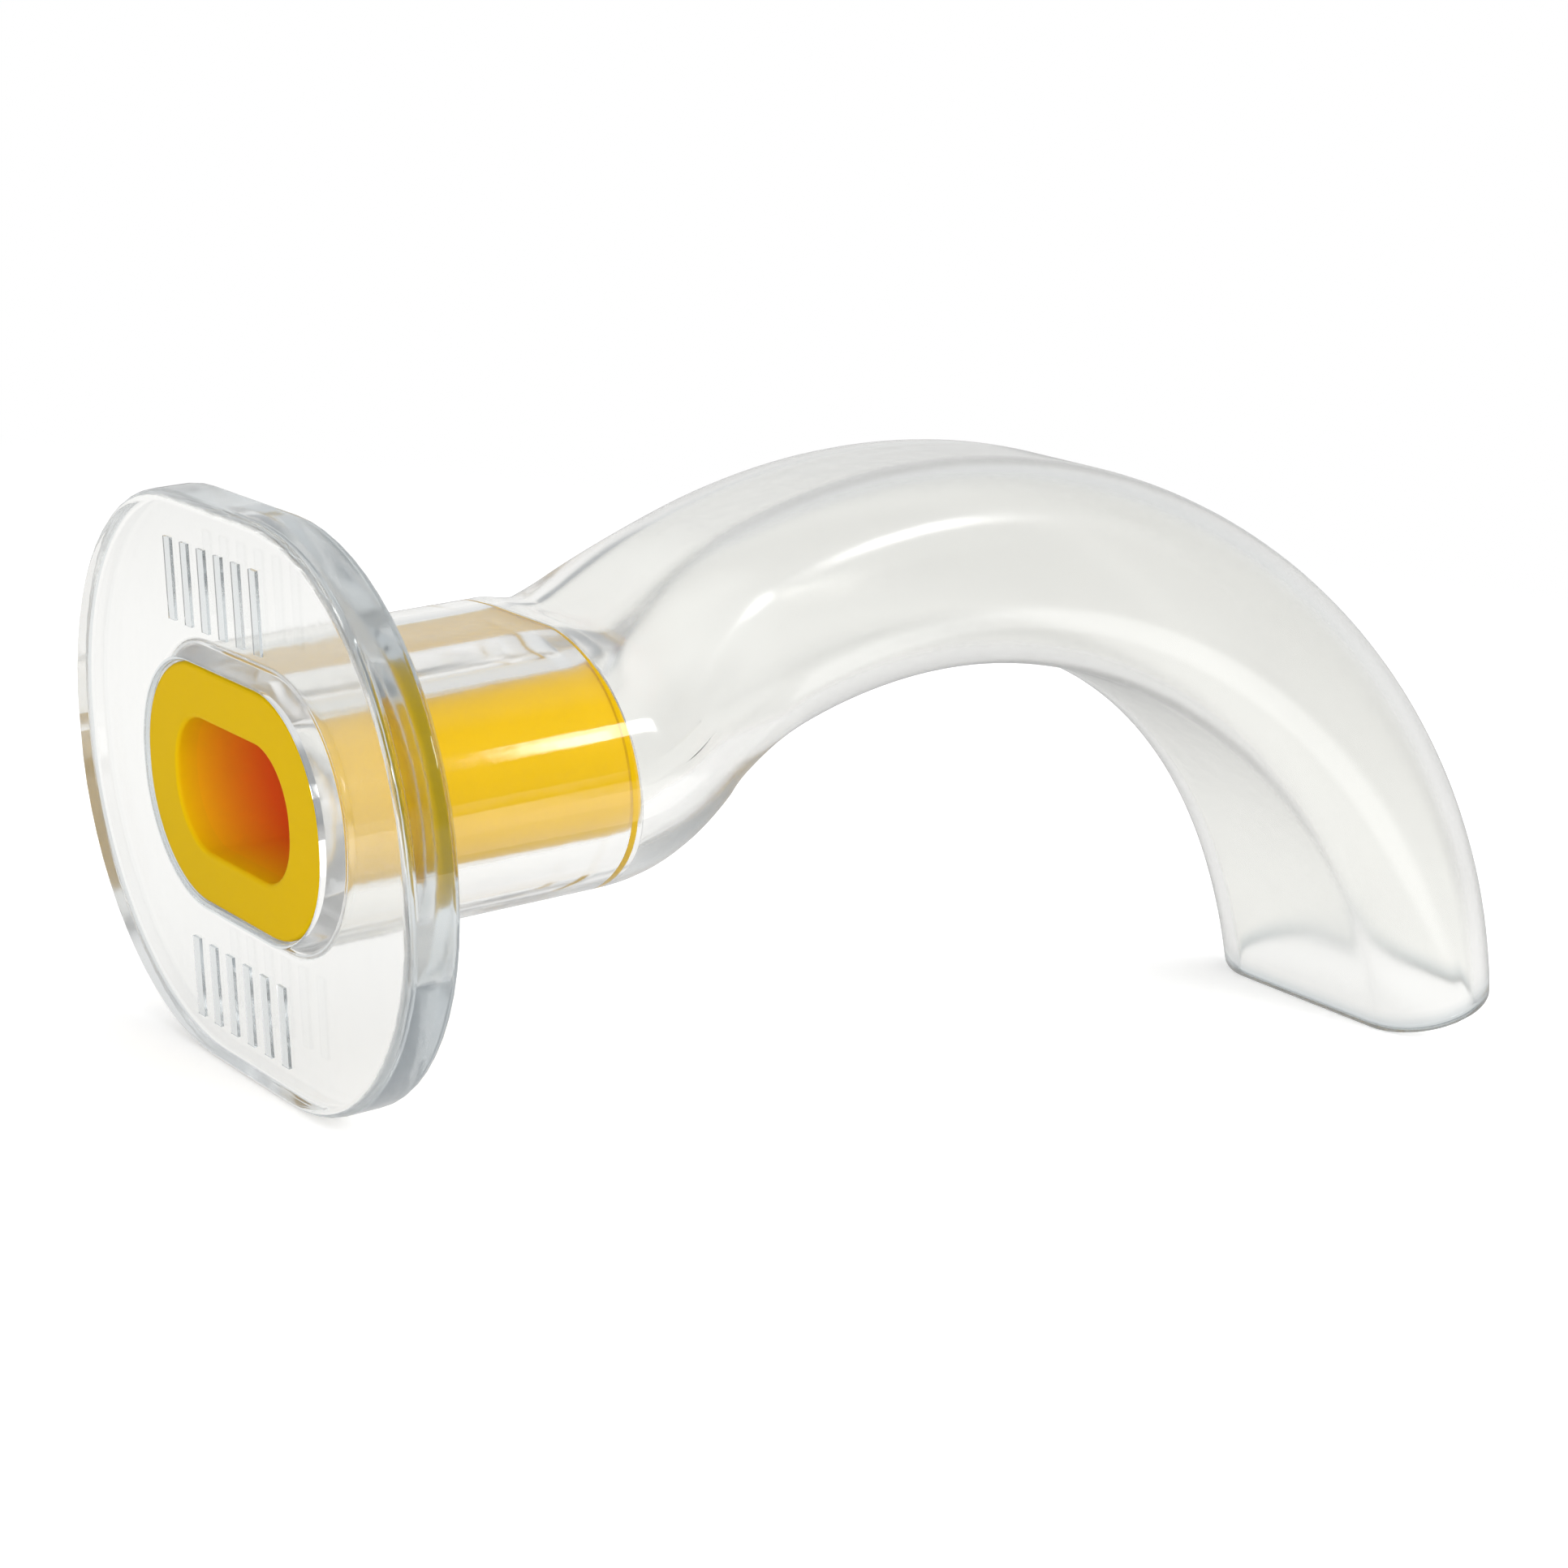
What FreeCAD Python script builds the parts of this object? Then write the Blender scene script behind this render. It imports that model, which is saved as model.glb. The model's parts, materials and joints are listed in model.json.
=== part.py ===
"""Oropharyngeal airway for a ward: a clear moulded body and the coloured bite block pushed into its flange.

Everything is drawn in the airway's own axes, in millimetres. X runs along the bite axis from the flange
towards the throat, Z points to the outer side of the curve, and the origin is the centre of the flange's
front face. The finished pieces are then tipped about Y until flange edge and tip stand on one level.
"""
import FreeCAD, Part
import math
import os
from FreeCAD import Vector

# Flange: a flat plate with half-round ends
FLANGE_WIDTH = 44.6
FLANGE_HEIGHT = 35.2
FLANGE_THICKNESS = 3.4
FLANGE_CORNER = 17.0
FLANGE_EDGE_ROUND = 0.6
FLANGE_ROOT_ROUND = 0.6

# Bite block: a rigid sleeve with an oblong bore, a wide lip at the mouth and a snug ridge at its far end
BLOCK_LENGTH = 21.7
SLEEVE_WIDTH = 18.7
SLEEVE_HEIGHT = 10.5
SLEEVE_CORNER = 4.95
LIP_WIDTH = 23.0
LIP_HEIGHT = 14.8
LIP_CORNER = 7.1
LIP_THICKNESS = 1.3
RIDGE_LENGTH = 0.5
RIDGE_CLEARANCE = 0.02
BLOCK_EDGE_ROUND = 0.25
BORE_WIDTH = 15.0
BORE_HEIGHT = 8.3
BORE_CORNER = 3.9
BLOCK_RECESS = 0.15

# Socket of the body that holds the sleeve, with a shallow counterbore for the lip
BLOCK_CLEARANCE = 0.1
SOCKET_WALL = 2.85
MOUTH_ROUND = 0.2
SEAT_STEP = 0.9

# Centre line: straight bite section, short rise, long curve down to the tip
RISE_START = 20.2
RISE_RADIUS = 12.5
RISE_ANGLE = 31.0
CURVE_RADIUS = 40.8
TIP_ANGLE = -85.5

# Tube: an oblong that flattens and flares towards the tip, which is cut on a slight bevel
TUBE_WALL = 1.3
TUBE_WIDTH = 16.7
TUBE_HEIGHT = 13.9
TUBE_CORNER = 5.0
FLARE_START = 0.33
TIP_WIDTH = 23.6
TIP_HEIGHT = 10.0
TIP_CORNER = 4.8
TAPER_POWER = 2.6
TIP_BEVEL = 6.0
TIP_LIP_ROUND = 0.55

# Shoulder between the oblong bite section and the tube
HEIGHT_BLEND_DELAY = 0.8
HEIGHT_BLEND_LENGTH = 8.0
WIDTH_BLEND_DELAY = 0.4
WIDTH_BLEND_LENGTH = 14.0

# Spacing of the sections that the lofts pass through
SHOULDER_SPACING = 1.6
TUBE_SPACING = 6.0
LEAST_FLAT = 0.15
CUT_OVERRUN = 1.0

SOCKET_WIDTH = SLEEVE_WIDTH + 2 * BLOCK_CLEARANCE
SOCKET_HEIGHT = SLEEVE_HEIGHT + 2 * BLOCK_CLEARANCE
SOCKET_CORNER = SLEEVE_CORNER + BLOCK_CLEARANCE
SOCKET_DEPTH = BLOCK_RECESS + BLOCK_LENGTH
COUNTERBORE_WIDTH = LIP_WIDTH + 2 * BLOCK_CLEARANCE
COUNTERBORE_HEIGHT = LIP_HEIGHT + 2 * BLOCK_CLEARANCE
COUNTERBORE_CORNER = LIP_CORNER + BLOCK_CLEARANCE
COUNTERBORE_DEPTH = BLOCK_RECESS + LIP_THICKNESS + BLOCK_CLEARANCE
BITE_WIDTH = SOCKET_WIDTH + 2 * SOCKET_WALL
BITE_HEIGHT = SOCKET_HEIGHT + 2 * SOCKET_WALL
BITE_CORNER = SOCKET_CORNER + SOCKET_WALL
RISE_LENGTH = RISE_RADIUS * math.radians(RISE_ANGLE)
CURVE_LENGTH = CURVE_RADIUS * math.radians(RISE_ANGLE - TIP_ANGLE)
PATH_LENGTH = RISE_START + RISE_LENGTH + CURVE_LENGTH
WIDTH_BLEND_START = SOCKET_DEPTH + WIDTH_BLEND_DELAY
HEIGHT_BLEND_START = RISE_START + HEIGHT_BLEND_DELAY


def centre_line(distance):
    """Point and heading of the centre line at a distance from the flange's front face."""
    rise_end = RISE_START + RISE_LENGTH
    peak = math.radians(RISE_ANGLE)
    if distance <= RISE_START:
        return distance, 0.0, 0.0
    if distance <= rise_end:
        heading = (distance - RISE_START) / RISE_RADIUS
        x = RISE_START + RISE_RADIUS * math.sin(heading)
        return x, RISE_RADIUS * (1 - math.cos(heading)), heading
    heading = peak - (distance - rise_end) / CURVE_RADIUS
    x = RISE_START + RISE_RADIUS * math.sin(peak) + CURVE_RADIUS * (math.sin(peak) - math.sin(heading))
    z = RISE_RADIUS * (1 - math.cos(peak)) + CURVE_RADIUS * (math.cos(heading) - math.cos(peak))
    return x, z, heading


def tip_frame():
    """Middle of the bevelled end and the direction that it faces."""
    x, z, heading = centre_line(PATH_LENGTH)
    return x, z, heading + math.radians(TIP_BEVEL)


def ease(share):
    """Smooth step from 0 to 1."""
    share = min(max(share, 0.0), 1.0)
    return share * share * (3 - 2 * share)


def mix(start, end, share):
    return start + (end - start) * share


def tube_size(share):
    """Half width, half height and corner radius of the tube at a share of its curved length."""
    flare = ease((share - FLARE_START) / (1 - FLARE_START))
    half_width = mix(TUBE_WIDTH, TIP_WIDTH, flare) / 2
    half_height = mix(TUBE_HEIGHT, TIP_HEIGHT, share ** TAPER_POWER) / 2
    return half_width, half_height, mix(TUBE_CORNER, TIP_CORNER, share)


def outer_size(distance):
    """Half width, half height and corner radius of the body's outside."""
    share = min(max(0.0, distance - RISE_START) / (PATH_LENGTH - RISE_START), 1.0)
    half_width, half_height, corner = tube_size(share)
    lowered = ease((distance - HEIGHT_BLEND_START) / HEIGHT_BLEND_LENGTH)
    narrowed = ease((distance - WIDTH_BLEND_START) / WIDTH_BLEND_LENGTH)
    return (
        mix(BITE_WIDTH / 2, half_width, narrowed),
        mix(BITE_HEIGHT / 2, half_height, lowered),
        mix(BITE_CORNER, corner, narrowed),
    )


def lumen_size(distance):
    """Half width, half height and corner radius of the air way behind the block."""
    half_width, half_height, corner = outer_size(distance)
    settled = ease((distance - SOCKET_DEPTH) / WIDTH_BLEND_LENGTH)
    wall = mix(SOCKET_WALL + SEAT_STEP, TUBE_WALL, settled)
    return half_width - wall, half_height - wall, max(corner - wall, LEAST_FLAT)


def oblong(distance, size, lean=0.0):
    """Rounded rectangle of four lines and four arcs, square to the centre line or leaning from it."""
    half_width, half_height, corner = size
    corner = min(corner, half_width - LEAST_FLAT, half_height - LEAST_FLAT)
    x, z, heading = centre_line(distance)
    heading += lean
    middle = Vector(x, 0, z)
    side = Vector(0, 1, 0)
    up = Vector(-math.sin(heading), 0, math.cos(heading))

    def place(across, height):
        return middle + side * across + up * height

    edges = []
    inner_width = half_width - corner
    inner_height = half_height - corner
    middle_of_arc = corner * math.sqrt(0.5)
    for across, height in ((1, 1), (-1, 1), (-1, -1), (1, -1)):
        flat_end = place(across * half_width, height * inner_height)
        top_end = place(across * inner_width, height * half_height)
        bulge = place(across * (inner_width + middle_of_arc), height * (inner_height + middle_of_arc))
        turns_up = across == height
        first, last = (flat_end, top_end) if turns_up else (top_end, flat_end)
        if edges:
            edges.append(Part.LineSegment(edges[-1].lastVertex().Point, first).toShape())
        edges.append(Part.Arc(first, bulge, last).toShape())
    edges.append(Part.LineSegment(edges[-1].lastVertex().Point, edges[0].firstVertex().Point).toShape())
    return Part.Wire(edges)


def plate(width, height, corner, start, length):
    """Straight prism of an oblong along the bite axis."""
    face = Part.Face(oblong(0.0, (width / 2, height / 2, corner)))
    prism = face.extrude(Vector(length, 0, 0))
    prism.translate(Vector(start, 0, 0))
    return prism


def stations(start, end):
    """Distances of the loft sections, close together over the shoulder."""
    shoulder_end = WIDTH_BLEND_START + WIDTH_BLEND_LENGTH
    close = max(2, round((shoulder_end - start) / SHOULDER_SPACING))
    wide = max(2, round((end - shoulder_end) / TUBE_SPACING))
    near = [mix(start, shoulder_end, step / close) for step in range(close)]
    far = [mix(shoulder_end, end, step / wide) for step in range(wide + 1)]
    return near + far


def swept(size_at, start):
    """Solid through all sections from start to the bevelled tip."""
    places = stations(start, PATH_LENGTH)
    sections = [oblong(distance, size_at(distance)) for distance in places[:-1]]
    sections.append(oblong(places[-1], size_at(places[-1]), math.radians(TIP_BEVEL)))
    return Part.makeLoft(sections, True)


def edges_in_plane(shape, point, normal, reach):
    """Edges whose every vertex lies in a plane, no further than reach from its point."""
    found = []
    for edge in shape.Edges:
        offsets = [vertex.Point - point for vertex in edge.Vertexes]
        if all(abs(offset.dot(normal)) < 1e-4 and offset.Length < reach for offset in offsets):
            found.append(edge)
    return found


def make_flange():
    flange = plate(FLANGE_WIDTH, FLANGE_HEIGHT, FLANGE_CORNER, 0.0, FLANGE_THICKNESS)
    rims = [edge for edge in flange.Edges if abs(edge.firstVertex().X - edge.lastVertex().X) < 1e-6]
    return flange.makeFillet(FLANGE_EDGE_ROUND, rims)


def make_body():
    """The one clear moulding: flange, bite section with its socket, and curved tube with its lumen."""
    loft_start = RISE_START - 2 * SHOULDER_SPACING
    bite = plate(BITE_WIDTH, BITE_HEIGHT, BITE_CORNER, FLANGE_THICKNESS / 2, loft_start - FLANGE_THICKNESS / 2)
    tube = swept(outer_size, loft_start)
    body = make_flange().fuse([bite, tube]).removeSplitter()

    root = edges_in_plane(body, Vector(FLANGE_THICKNESS, 0, 0), Vector(1, 0, 0), BITE_WIDTH * 0.6)
    body = body.makeFillet(FLANGE_ROOT_ROUND, root)

    socket = plate(SOCKET_WIDTH, SOCKET_HEIGHT, SOCKET_CORNER, -CUT_OVERRUN, SOCKET_DEPTH + CUT_OVERRUN)
    counterbore = plate(
        COUNTERBORE_WIDTH, COUNTERBORE_HEIGHT, COUNTERBORE_CORNER, -CUT_OVERRUN, COUNTERBORE_DEPTH + CUT_OVERRUN
    )
    lumen = swept(lumen_size, SOCKET_DEPTH - CUT_OVERRUN)
    body = body.cut(socket).cut(counterbore).cut(lumen)

    mouth = edges_in_plane(body, Vector(0, 0, 0), Vector(1, 0, 0), COUNTERBORE_WIDTH * 0.6)
    body = body.makeFillet(MOUTH_ROUND, mouth)
    x, z, heading = tip_frame()
    tip = edges_in_plane(body, Vector(x, 0, z), Vector(math.cos(heading), 0, math.sin(heading)), TIP_WIDTH)
    return body.makeFillet(TIP_LIP_ROUND, tip)


def make_block():
    """Coloured sleeve that fills the socket and keeps the bore open between the teeth."""
    sleeve = plate(SLEEVE_WIDTH, SLEEVE_HEIGHT, SLEEVE_CORNER, BLOCK_RECESS, BLOCK_LENGTH)
    lip = plate(LIP_WIDTH, LIP_HEIGHT, LIP_CORNER, BLOCK_RECESS, LIP_THICKNESS)
    bore = plate(BORE_WIDTH, BORE_HEIGHT, BORE_CORNER, BLOCK_RECESS - CUT_OVERRUN, BLOCK_LENGTH + 2 * CUT_OVERRUN)
    block = sleeve.fuse(lip).cut(bore)
    face = edges_in_plane(block, Vector(BLOCK_RECESS, 0, 0), Vector(1, 0, 0), LIP_WIDTH)
    end = edges_in_plane(block, Vector(SOCKET_DEPTH, 0, 0), Vector(1, 0, 0), LIP_WIDTH)
    block = block.makeFillet(BLOCK_EDGE_ROUND, face + end)

    height = BLOCK_CLEARANCE - RIDGE_CLEARANCE
    ridge_start = SOCKET_DEPTH - BLOCK_EDGE_ROUND - RIDGE_LENGTH
    ridge = plate(
        SLEEVE_WIDTH + 2 * height, SLEEVE_HEIGHT + 2 * height, SLEEVE_CORNER + height, ridge_start, RIDGE_LENGTH
    )
    return block.fuse(ridge.cut(bore)).removeSplitter()


def rest_pitch():
    """Angle that brings the flange's lower edge and the tip's inner lip to one level."""
    flange_x = FLANGE_EDGE_ROUND
    flange_z = FLANGE_EDGE_ROUND - FLANGE_HEIGHT / 2
    x, z, heading = tip_frame()
    down = outer_size(PATH_LENGTH)[1] - TIP_LIP_ROUND
    lip_x = x + down * math.sin(heading) - TIP_LIP_ROUND * math.cos(heading)
    lip_z = z - down * math.cos(heading) - TIP_LIP_ROUND * math.sin(heading)
    span = math.hypot(lip_x - flange_x, lip_z - flange_z)
    drop = math.atan2(flange_z - lip_z, lip_x - flange_x)
    return drop + math.asin((TIP_LIP_ROUND - FLANGE_EDGE_ROUND) / span)


def stand(pieces):
    """Tip the pieces to their resting pose and put the origin under the middle of their box."""
    for shape in pieces.values():
        shape.rotate(Vector(0, 0, 0), Vector(0, 1, 0), -math.degrees(rest_pitch()))
    box = pieces["airway_body"].optimalBoundingBox(False)
    for shape in pieces.values():
        shape.translate(Vector(-(box.XMin + box.XMax) / 2, 0, -box.ZMin))


pieces = {"airway_body": make_body(), "bite_block": make_block()}
stand(pieces)
os.makedirs("parts", exist_ok=True)
for name, shape in pieces.items():
    shape.exportStep("parts/%s.step" % name)
    print(name, "valid", shape.isValid(), "solids", len(shape.Solids), "volume", round(shape.Volume, 1), shape.BoundBox)
print("rest pitch", round(math.degrees(rest_pitch()), 3), "path length", round(PATH_LENGTH, 2))
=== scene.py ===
"""Oropharyngeal airway on a pale floor: the clear moulded body, its bite block and its raised bars."""
import json
import math
from collections import namedtuple

import bmesh
import bpy
from bpy.props import FloatProperty, FloatVectorProperty, IntProperty, PointerProperty
from bpy.types import Operator, Panel, PropertyGroup
from mathutils import Matrix, Vector


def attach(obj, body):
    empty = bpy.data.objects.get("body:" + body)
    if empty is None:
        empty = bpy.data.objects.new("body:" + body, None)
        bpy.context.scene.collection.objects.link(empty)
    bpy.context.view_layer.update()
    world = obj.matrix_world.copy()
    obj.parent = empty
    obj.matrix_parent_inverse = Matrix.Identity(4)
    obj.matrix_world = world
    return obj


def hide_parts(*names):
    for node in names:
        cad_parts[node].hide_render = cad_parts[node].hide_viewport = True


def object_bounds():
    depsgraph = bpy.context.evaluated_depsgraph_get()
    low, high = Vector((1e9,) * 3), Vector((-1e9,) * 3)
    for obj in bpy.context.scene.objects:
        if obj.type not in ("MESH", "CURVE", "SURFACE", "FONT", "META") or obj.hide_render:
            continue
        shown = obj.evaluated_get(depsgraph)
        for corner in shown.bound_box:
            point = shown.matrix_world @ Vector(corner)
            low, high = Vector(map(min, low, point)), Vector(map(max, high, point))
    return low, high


bl_info = {
    "name": "Oropharyngeal airway",
    "version": (1, 0, 0),
    "blender": (4, 5, 0),
    "location": "View3D > Sidebar > Airway",
    "description": "Makes a clear oropharyngeal airway with its bite block, and the studio that shows it",
    "category": "Add Mesh",
}

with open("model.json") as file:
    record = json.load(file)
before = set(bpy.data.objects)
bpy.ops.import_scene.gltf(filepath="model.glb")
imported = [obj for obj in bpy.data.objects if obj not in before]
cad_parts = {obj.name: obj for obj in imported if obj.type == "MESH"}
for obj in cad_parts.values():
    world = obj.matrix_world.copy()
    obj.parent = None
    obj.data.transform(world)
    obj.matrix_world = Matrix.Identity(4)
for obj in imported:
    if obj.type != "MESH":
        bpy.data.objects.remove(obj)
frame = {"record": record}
cad_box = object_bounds()

MM = 0.001
PHOTO_PIXELS = 1932
SENSOR_WIDTH = 36.0
SHARP_ANGLE = math.radians(40)
FLOOR_HALF = 6.0

# Directions in the frame, as seen from the airway
LAMP = Vector((0.42, -0.77, 0.48))
KEY = Vector((0.42, -0.87, 0.24)).normalized()
CARD = Vector((0.43, -0.80, 0.40)).normalized()
WALL = Vector((-0.78, 0.62, 0.05))
UP = Vector((0.0, 0.0, 1.0))

# A ring is one oblong section of a wall, at a distance along the centre line
Section = namedtuple("Section", "half_width half_height corner")
Ring = namedtuple("Ring", "distance half_width half_height corner lean")


def length(name, description, millimetres):
    """A size that the user sees in scene units."""
    size = millimetres * MM
    return FloatProperty(name=name, description=description, default=size, subtype="DISTANCE", unit="LENGTH")


def angle(name, description, degrees):
    turn = math.radians(degrees)
    return FloatProperty(name=name, description=description, default=turn, subtype="ANGLE", unit="ROTATION")


def share(name, description, value):
    return FloatProperty(
        name=name,
        description=description,
        default=value,
        min=0.0,
        max=1.0,
        subtype="FACTOR",
    )


def number(name, description, value):
    return FloatProperty(name=name, description=description, default=value)


def count(name, description, value):
    return IntProperty(name=name, description=description, default=value, min=1)


def colour(name, description, red, green, blue):
    """A colour in linear light, as the shader reads it."""
    return FloatVectorProperty(
        name=name,
        description=description,
        default=(red, green, blue, 1.0),
        size=4,
        subtype="COLOR",
        min=0.0,
        max=1.0,
    )


class AirwayBodySizes(PropertyGroup):
    flange_width: length("Flange width", "Width of the flange across the mouth", 44.6)
    flange_height: length("Flange height", "Height of the flange", 35.2)
    flange_thickness: length("Flange thickness", "Thickness of the flange plate", 3.4)
    flange_corner: length("Flange corner", "Corner radius of the flange outline", 17.0)
    edge_round: length("Edge round", "Radius on the flange's two edges", 0.6)
    root_round: length("Root round", "Fillet between flange and bite section", 0.6)
    mouth_round: length("Mouth round", "Radius on the socket's mouth", 0.2)
    seat_round: length("Seat round", "Radius on the step that the bite block meets", 0.12)
    lip_round: length("Lip round", "Radius on both edges of the tip", 0.55)
    socket_wall: length("Socket wall", "Wall round the block's sleeve", 2.85)
    seat_step: length("Seat step", "Step at the end of the socket", 0.9)
    tube_wall: length("Tube wall", "Wall of the curved tube", 1.3)
    rise_start: length("Rise start", "Length of the straight part of the centre line", 20.2)
    rise_radius: length("Rise radius", "Radius of the short rise behind the bite section", 12.5)
    rise_angle: angle("Rise angle", "Steepest heading of the centre line", 31.0)
    curve_radius: length("Curve radius", "Radius of the long curve", 40.8)
    tip_angle: angle("Tip angle", "Heading of the centre line at the tip", -85.5)
    tip_bevel: angle("Tip bevel", "Lean of the cut tip", 6.0)
    bevel_reach: length("Bevel reach", "Length over which the sections turn to the cut", 12.0)
    tube_width: length("Tube width", "Width of the tube at its start", 16.7)
    tube_height: length("Tube height", "Height of the tube at its start", 13.9)
    tube_corner: length("Tube corner", "Corner radius of the tube at its start", 5.0)
    flare_start: share("Flare start", "Share of the curve at which the tube begins to widen", 0.33)
    tip_width: length("Tip width", "Width of the tip", 23.6)
    tip_height: length("Tip height", "Height of the tip", 10.0)
    tip_corner: length("Tip corner", "Corner radius of the tip", 4.8)
    taper_power: number("Taper power", "How late the tube flattens", 2.6)
    height_delay: length("Height blend delay", "Distance past the rise's start to the shoulder", 0.8)
    height_blend: length("Height blend", "Length over which the height blends into the tube", 8.0)
    width_delay: length("Width blend delay", "Distance past the socket's end where the width narrows", 0.4)
    width_blend: length("Width blend", "Length over which the width blends into the tube", 14.0)


class AirwayBlockSizes(PropertyGroup):
    length: length("Block length", "Length of the bite block", 21.7)
    sleeve_width: length("Sleeve width", "Width of the sleeve in the socket", 18.7)
    sleeve_height: length("Sleeve height", "Height of the sleeve", 10.5)
    sleeve_corner: length("Sleeve corner", "Corner radius of the sleeve's outline", 4.95)
    lip_width: length("Lip width", "Width of the lip in the counterbore", 23.0)
    lip_height: length("Lip height", "Height of the lip", 14.8)
    lip_corner: length("Lip corner", "Corner radius of the lip's outline", 7.1)
    lip_thickness: length("Lip thickness", "Thickness of the lip along the bore", 1.3)
    ridge_length: length("Ridge length", "Length of the ridge that grips the socket", 0.5)
    ridge_bite: length("Ridge bite", "Depth that the ridge presses into the clear wall", 0.02)
    draft: length("Sleeve draft", "How much slimmer the sleeve is behind the lip, on each side", 0.4)
    edge_round: length("Block edge", "Radius on the block's edges", 0.25)
    bore_width: length("Bore width", "Width of the oblong bore", 15.0)
    bore_height: length("Bore height", "Height of the oblong bore", 8.3)
    bore_corner: length("Bore corner", "Corner radius of the bore", 3.9)
    recess: length("Recess", "Depth of the block's face below the flange's face", 0.15)
    clearance: length("Clearance", "Air between block and socket wall", 0.1)


class AirwayMeshSizes(PropertyGroup):
    corner_faces: count("Corner faces", "Faces round each corner of a section", 16)
    side_faces: count("Side faces", "Faces on half of a section's flat side", 8)
    top_faces: count("Top faces", "Faces on half of a section's flat top", 10)
    round_faces: count("Round faces", "Faces across a small rounded edge", 5)
    step: length("Ring step", "Distance between sections on the tube", 0.9)
    shoulder_step: length("Shoulder step", "Distance between sections on the shoulder", 0.5)
    counterbore_step: length("Counterbore step", "Distance between sections in the counterbore", 0.3)
    guard: length("Guard", "Distance of the ring that keeps a flat flat", 0.06)
    flange_rings: count("Flange rings", "Parts of a flat face of the flange", 8)
    step_rings: count("Step rings", "Parts of a narrow step", 4)
    end_rings: count("End rings", "Parts of an end face of the block", 6)


class AirwayMarkSizes(PropertyGroup):
    rise: length("Rise", "Height of the bars above the flange", 0.2)
    middle: length("Row middle", "Distance of each row from the middle of the flange", 12.4)
    bar_count: count("Bars", "Plain raised bars in each row", 6)
    bar_width: length("Bar width", "Width of one raised bar", 0.9)
    bar_length: length("Bar length", "Length of one raised bar", 5.0)
    bar_pitch: length("Bar pitch", "Distance from bar to bar", 2.3)


class AirwayFinish(PropertyGroup):
    clear_tint: colour("Clear tint", "Tint of light at each face of the clear plastic", 0.985, 0.985, 0.962)
    # Painted shade: a darker blue-grey base colour for the rim, the socket's mouth, the bars and the tip,
    # standing in for the shade that the clear plastic shows there.
    painted_edge_shade: colour("Edge tint", "Tint of the rim, socket's mouth, bars and tip", 0.66, 0.70, 0.71)
    clear_rough: share("Clear roughness", "Roughness of the clear flange and bite section", 0.07)
    tube_rough: share("Tube roughness", "Roughness of the slightly cloudy curved tube", 0.17)
    # The next four sizes place the painted edge shade.
    edge_reach: length("Edge reach", "Width of the edge tint at the rim and the socket's mouth", 0.3)
    mouth_reach: length("Mouth reach", "Depth of the edge tint in the socket's mouth", 1.2)
    tip_reach: length("Tip reach", "Distance from the cut at which the edge tint starts", 1.4)
    tip_fade: length("Tip fade", "Length over which the tint at the tip grows full", 1.0)
    tube_fade: length("Tube fade", "Length over which the plastic turns cloudy", 6.0)
    clear_ior: number("Clear index", "Refractive index of the clear plastic", 1.49)
    yellow: colour("Block yellow", "Colour of the bite block's sleeve", 0.82, 0.51, 0.002)
    # Painted shade: the lip's colour is a darker, greener copy of the yellow, for the shade on the lip's
    # face.
    lip_shaded_yellow: colour("Lip yellow", "Colour of the bite block's lip", 0.79, 0.51, 0.002)
    # Painted shade and bounce light: the next two set how the bore turns from yellow to orange with depth.
    bore_fade: length("Bore fade", "Depth over which the bore turns orange", 6.0)
    bore_shade_orange: colour("Bore orange", "Colour deep inside the bore", 0.95, 0.19, 0.035)


class AirwayStage(PropertyGroup):
    azimuth: angle("Azimuth", "Direction that the camera stands in, in the airway's own axes", -33.052)
    elevation: angle("Elevation", "Height of the camera, in the airway's own axes", 16.143)
    roll: angle("Roll", "Turn of the camera about its view", -1.674)
    distance: length("Distance", "Distance of the camera from its aim", 241.04)
    aim: length("Aim", "Distance of the aim behind the flange's face", 45.0)
    aim_right: length("Aim right", "Shift of the aim to the right", -5.116)
    aim_up: length("Aim up", "Shift of the aim upwards", -6.793)
    focal_pixels: number("Focal length", "Focal length in pixels of the photograph", 4568.17)
    lamp_distance: length("Lamp distance", "Distance scale of the soft box from the airway", 500.0)
    lamp_width: length("Lamp width", "Width of the soft box", 100.0)
    lamp_height: length("Lamp height", "Height of the soft box", 90.0)
    lamp_power: number("Lamp power", "Power of the soft box in watts", 0.32)


class Wire:
    """One socket of a node tree. Arithmetic on it adds Math nodes."""

    def __init__(self, plan, socket):
        self.plan = plan
        self.socket = socket

    def math(self, operation, *others):
        return self.plan.node("ShaderNodeMath", {"operation": operation}, [self, *others])

    def __add__(self, other):
        return self.math("ADD", other)

    def __sub__(self, other):
        return self.math("SUBTRACT", other)

    def __rsub__(self, other):
        return self.plan.node("ShaderNodeMath", {"operation": "SUBTRACT"}, [other, self])

    def __mul__(self, other):
        return self.math("MULTIPLY", other)

    def __truediv__(self, other):
        return self.math("DIVIDE", other)

    def __neg__(self):
        return self * -1.0

    __radd__ = __add__
    __rmul__ = __mul__

    def least(self, other):
        return self.math("MINIMUM", other)

    def most(self, other):
        return self.math("MAXIMUM", other)

    def clamp(self):
        return self.most(0.0).least(1.0)

    def sin(self):
        return self.math("SINE")

    def cos(self):
        return self.math("COSINE")


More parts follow.
